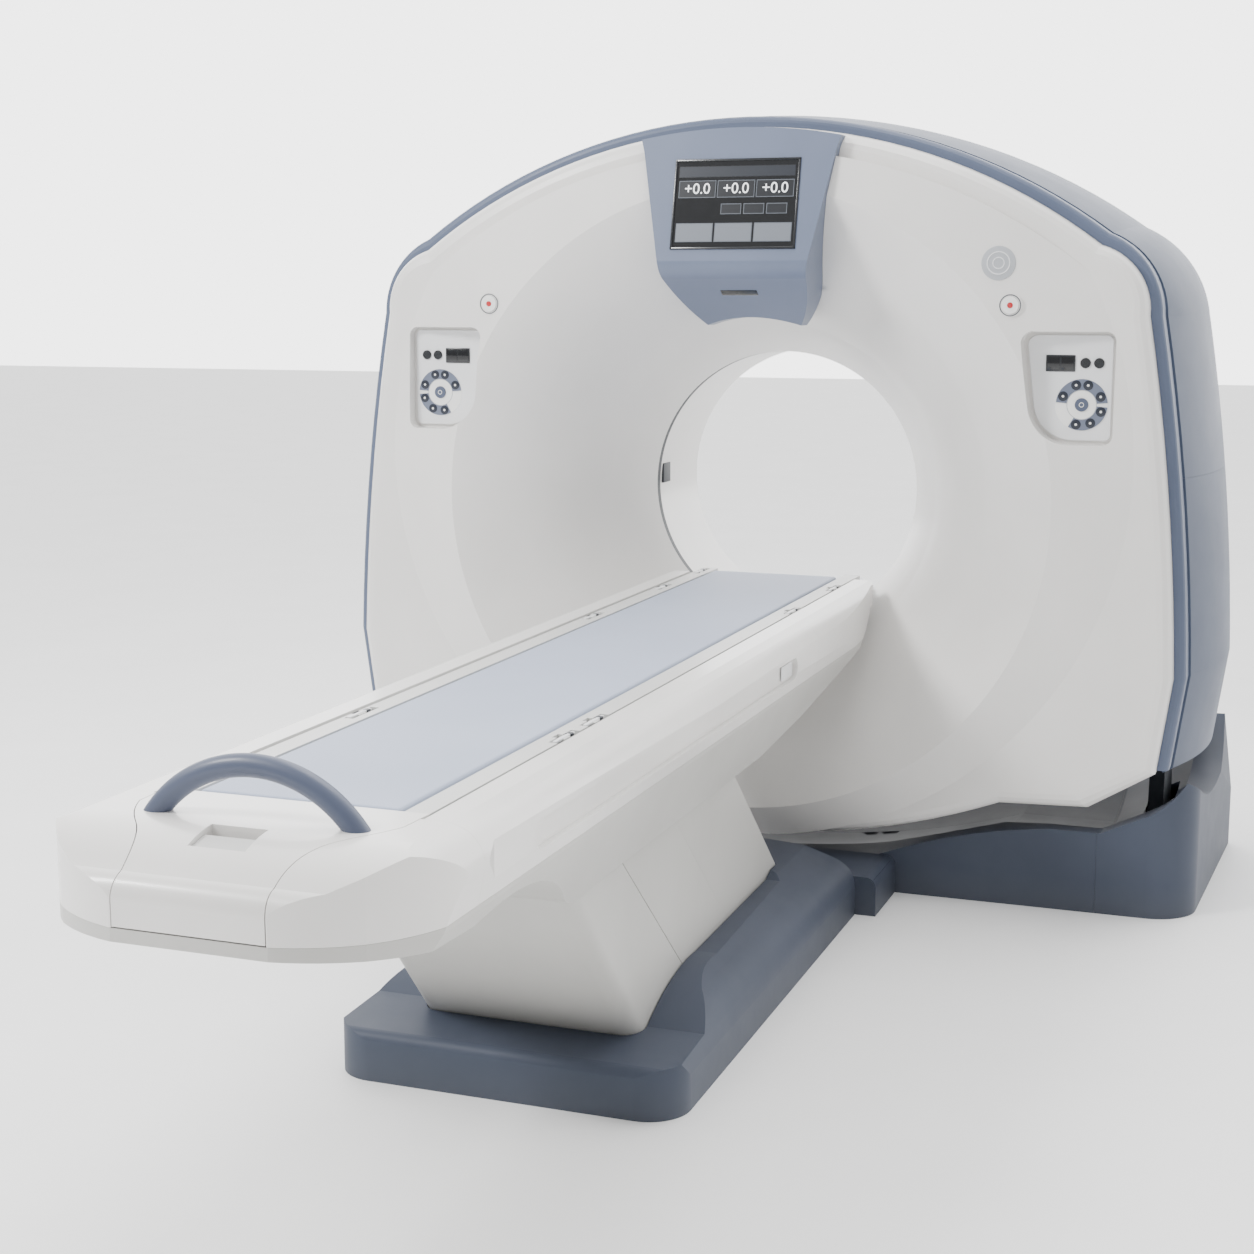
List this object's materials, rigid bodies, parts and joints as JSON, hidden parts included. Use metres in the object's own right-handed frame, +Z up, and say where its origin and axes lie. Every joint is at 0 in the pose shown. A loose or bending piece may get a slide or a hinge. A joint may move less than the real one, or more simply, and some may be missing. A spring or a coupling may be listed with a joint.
{
  "type": "ct scanner",
  "caption": "Ring-shaped medical scanner with a tilting gantry, round bore and display pod, and a sliding patient couch on a leaning lift column.",
  "frame": {"origin": "on the floor, straight below the isocentre, where the bore axis meets the gantry's tilt axis", "axes": "+Z up; +Y along the bore axis from the couch towards the gantry's rear; +X to the right for someone at the couch's foot looking at the gantry"},
  "size_m": [2.524, 3.6102, 2.1048],
  "materials": {
    "cover_white": "glossy",
    "side_grey": "satin",
    "trim_grey": "satin",
    "pod_grey": "satin",
    "screen": "glossy",
    "window_ring": "matte",
    "base_grey": "satin",
    "column_white": "satin",
    "link_grey": "matte",
    "frame_steel": "matte",
    "frame_alloy": "satin",
    "pin_steel": "satin",
    "rotor_metal": "satin",
    "tube_housing": "satin",
    "detector_case": "satin",
    "ballast": "rough",
    "slip_ring": "polished",
    "slab": "satin",
    "mattress": "soft",
    "rail": "satin",
    "handle": "satin",
    "key_white": "glossy",
    "panel_grey": "satin"
  },
  "bodies": {
    "base": {"tilt_stand_left": "ballast", "tilt_stand_right": "ballast", "gantry_base_frame": "ballast", "gantry_base_front_cover": "base_grey", "gantry_base_rear_cover": "base_grey", "gantry_base_left_cover": "base_grey", "gantry_base_right_cover": "base_grey", "column_foot_cover": "column_white", "column_left_panel": "column_white", "column_right_panel": "column_white", "column_head_cover": "column_white", "lift_guide": "frame_steel", "couch_base_cover": "base_grey", "couch_base_frame": "ballast", "base_link_cover": "link_grey"},
    "gantry": {"gantry_front_cover": "cover_white", "bore_ring": "cover_white", "xray_window": "window_ring", "tunnel_liner": "cover_white", "gantry_rear_cover": "cover_white", "front_trim": "trim_grey", "gantry_top_cover": "side_grey", "gantry_left_cover": "side_grey", "gantry_right_cover": "side_grey", "display_pod": "pod_grey", "display_screen": "screen", "stator_frame": "ballast", "main_bearing": "pin_steel", "tilt_pins": "pin_steel", "control_panel_left": "panel_grey", "control_panel_right": "panel_grey"},
    "rotor": {"rotor_drum": "rotor_metal", "xray_tube": "tube_housing", "collimator": "frame_steel", "detector_array": "detector_case", "generator": "frame_steel", "counterweight": "ballast", "slip_ring": "slip_ring"},
    "couch": {"lift_mast": "frame_steel", "couch_frame": "frame_alloy", "couch_foot_cover": "cover_white", "couch_left_cover": "cover_white", "couch_right_cover": "cover_white", "couch_head_cover": "cover_white", "couch_underbody": "column_white"},
    "couch_top": {"tabletop": "slab", "mattress": "mattress", "rail_left": "rail", "rail_right": "rail", "foot_panel": "cover_white", "pull_handle": "handle"},
    "paddle": {"release_paddle": "handle"},
    "start_left": {"start_button_left": "key_white"},
    "start_right": {"start_button_right": "key_white"},
    "outer_key_left": {"key_outer_left": "key_white"},
    "outer_key_right": {"key_outer_right": "key_white"},
    "inner_key_left": {"key_inner_left": "key_white"},
    "inner_key_right": {"key_inner_right": "key_white"},
    "centre_key_left": {"key_centre_left": "key_white"},
    "centre_key_right": {"key_centre_right": "key_white"}
  },
  "joints": [
    {"name": "gantry_tilt", "type": "hinge", "parent": "base", "child": "gantry", "pos_m": [0, 0, 1.061], "axis": [-1, 0, 0], "range_deg": [-20, 6]},
    {"name": "rotor_spin", "type": "hinge", "parent": "gantry", "child": "rotor", "pos_m": [0, 0.17, 1.061], "axis": [0, 1, 0], "continuous": true},
    {"name": "couch_lift", "type": "slide", "parent": "base", "child": "couch", "axis": [0, 0, 1], "range_m": [-0.012, 0.1]},
    {"name": "top_slide", "type": "slide", "parent": "couch", "child": "couch_top", "axis": [0, 1, 0], "range_m": [0, 1.65]},
    {"name": "release_paddle_turn", "type": "hinge", "parent": "couch_top", "child": "paddle", "pos_m": [0, -3.094, 0.789], "axis": [1, 0, 0], "range_deg": [0, 30], "stiffness_Nm_per_rad": 0.5},
    {"name": "start_left_press", "type": "slide", "parent": "gantry", "child": "start_left", "axis": [0, 1, 0], "range_m": [0, 0.002], "stiffness_N_per_m": 400},
    {"name": "start_right_press", "type": "slide", "parent": "gantry", "child": "start_right", "axis": [0, 1, 0], "range_m": [0, 0.002], "stiffness_N_per_m": 400},
    {"name": "outer_key_left_press", "type": "slide", "parent": "gantry", "child": "outer_key_left", "axis": [0, 1, 0], "range_m": [0, 0.0015], "stiffness_N_per_m": 400},
    {"name": "outer_key_right_press", "type": "slide", "parent": "gantry", "child": "outer_key_right", "axis": [0, 1, 0], "range_m": [0, 0.0015], "stiffness_N_per_m": 400},
    {"name": "inner_key_left_press", "type": "slide", "parent": "gantry", "child": "inner_key_left", "axis": [0, 1, 0], "range_m": [0, 0.0015], "stiffness_N_per_m": 400},
    {"name": "inner_key_right_press", "type": "slide", "parent": "gantry", "child": "inner_key_right", "axis": [0, 1, 0], "range_m": [0, 0.0015], "stiffness_N_per_m": 400},
    {"name": "centre_key_left_press", "type": "slide", "parent": "gantry", "child": "centre_key_left", "axis": [0, 1, 0], "range_m": [0, 0.0015], "stiffness_N_per_m": 400},
    {"name": "centre_key_right_press", "type": "slide", "parent": "gantry", "child": "centre_key_right", "axis": [0, 1, 0], "range_m": [0, 0.0015], "stiffness_N_per_m": 400}
  ]
}
